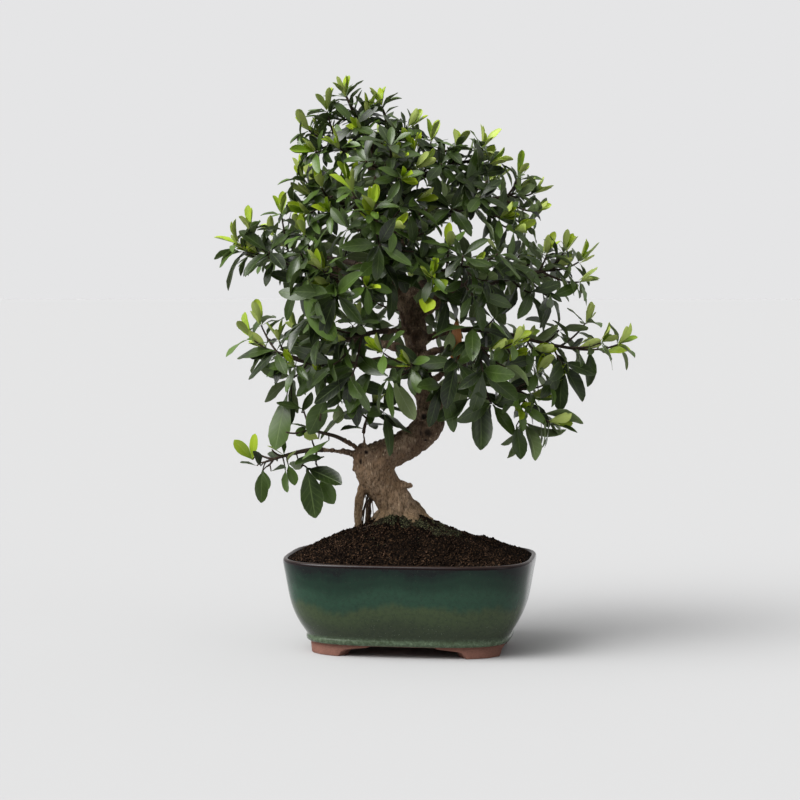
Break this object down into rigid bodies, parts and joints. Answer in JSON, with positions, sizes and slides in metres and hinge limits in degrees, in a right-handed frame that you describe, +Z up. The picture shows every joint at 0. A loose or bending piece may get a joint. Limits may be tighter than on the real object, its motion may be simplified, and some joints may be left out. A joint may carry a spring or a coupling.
{
  "type": "firethorn bonsai",
  "caption": "Small evergreen tree with a bent trunk and oblong leaves, growing from mounded soil in a low rounded rectangular glazed pot on bracket feet.",
  "frame": {"origin": "middle of the footprint of the whole, on the surface that the pot's feet stand on", "axes": "+Z up, +X along the long side of the pot, the front of the tree and of the pot faces -Y"},
  "size_m": [0.4128, 0.265, 0.5709],
  "materials": {
    "glaze": "gloss",
    "screen": "matte",
    "soil": "matte",
    "bark": "matte",
    "foliage": "satin"
  },
  "bodies": {
    "root": {"pot": "glaze", "drain_screen_left": "screen", "drain_screen_right": "screen", "soil": "soil", "trunk": "bark", "spray_low_left": "foliage", "spray_low_left_front": "foliage", "spray_inner_left": "foliage", "spray_left_mid": "foliage", "spray_left_long": "foliage", "spray_left_upper": "foliage", "spray_crown_left": "foliage", "spray_apex": "foliage", "spray_crown_right": "foliage", "spray_right_top": "foliage", "spray_right_high": "foliage", "spray_right_long": "foliage", "spray_right_far": "foliage", "spray_low_right": "foliage", "spray_front_low": "foliage", "spray_front_left": "foliage", "spray_front_left_high": "foliage", "spray_front_upper": "foliage", "spray_front_right_high": "foliage", "spray_front_top": "foliage", "spray_front_right_low": "foliage", "spray_back_left_low": "foliage", "spray_back_right_low": "foliage", "spray_back_left": "foliage", "spray_back_right": "foliage", "spray_back_middle": "foliage", "spray_back_upper_left": "foliage", "spray_back_upper_right": "foliage", "spray_back_top": "foliage", "spray_back_upper": "foliage"}
  },
  "joints": []
}
